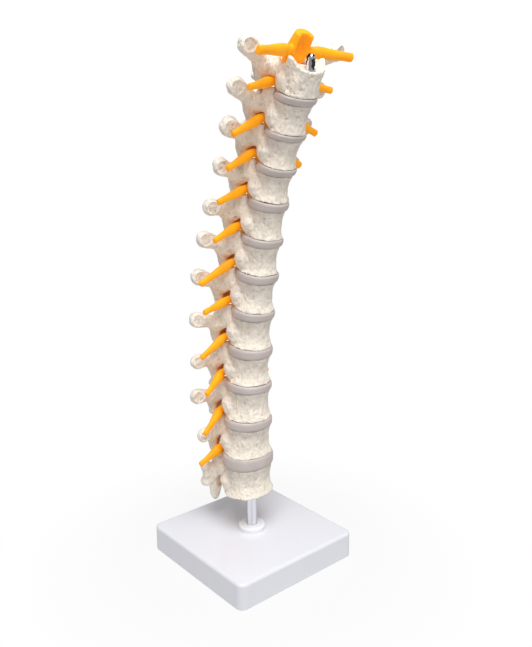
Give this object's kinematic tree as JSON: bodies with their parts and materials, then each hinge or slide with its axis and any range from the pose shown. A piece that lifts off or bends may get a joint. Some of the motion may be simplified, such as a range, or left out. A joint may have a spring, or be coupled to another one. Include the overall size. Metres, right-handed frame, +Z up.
{
  "type": "thoracic spine anatomy model on a stand",
  "caption": "Desktop anatomy model of the thoracic spine: ivory vertebrae with grey discs and orange nerves on a bright rod over a square white base.",
  "frame": {"origin": "centre of the square base's underside", "axes": "+Z up along the stand rod, +X the spine's own left, -Y the front that the bodies face"},
  "size_m": [0.11, 0.1204, 0.379],
  "materials": {
    "bone": "matte, pitted like dry bone",
    "disc": "satin, slightly translucent",
    "nerve": "satin soft plastic",
    "polished": "bright plated",
    "steel": "plain",
    "collar": "satin white",
    "base_white": "gloss white",
    "plate": "matte white"
  },
  "bodies": {
    "root": {"vertebra_t01": "bone", "vertebra_t02": "bone", "vertebra_t03": "bone", "vertebra_t04": "bone", "vertebra_t05": "bone", "vertebra_t06": "bone", "vertebra_t07": "bone", "vertebra_t08": "bone", "vertebra_t09": "bone", "vertebra_t10": "bone", "vertebra_t11": "bone", "vertebra_t12": "bone", "disc_t01_t02": "disc", "disc_t02_t03": "disc", "disc_t03_t04": "disc", "disc_t04_t05": "disc", "disc_t05_t06": "disc", "disc_t06_t07": "disc", "disc_t07_t08": "disc", "disc_t08_t09": "disc", "disc_t09_t10": "disc", "disc_t10_t11": "disc", "disc_t11_t12": "disc", "spinal_cord_with_nerves": "nerve", "core_rod": "steel", "core_washer": "steel", "core_cap": "polished", "stand_rod": "polished", "base_collar": "collar", "base_shell": "base_white", "base_plate": "plate", "base_plate_screws": "steel", "stand_washer": "steel", "stand_screw": "steel"}
  },
  "joints": []
}
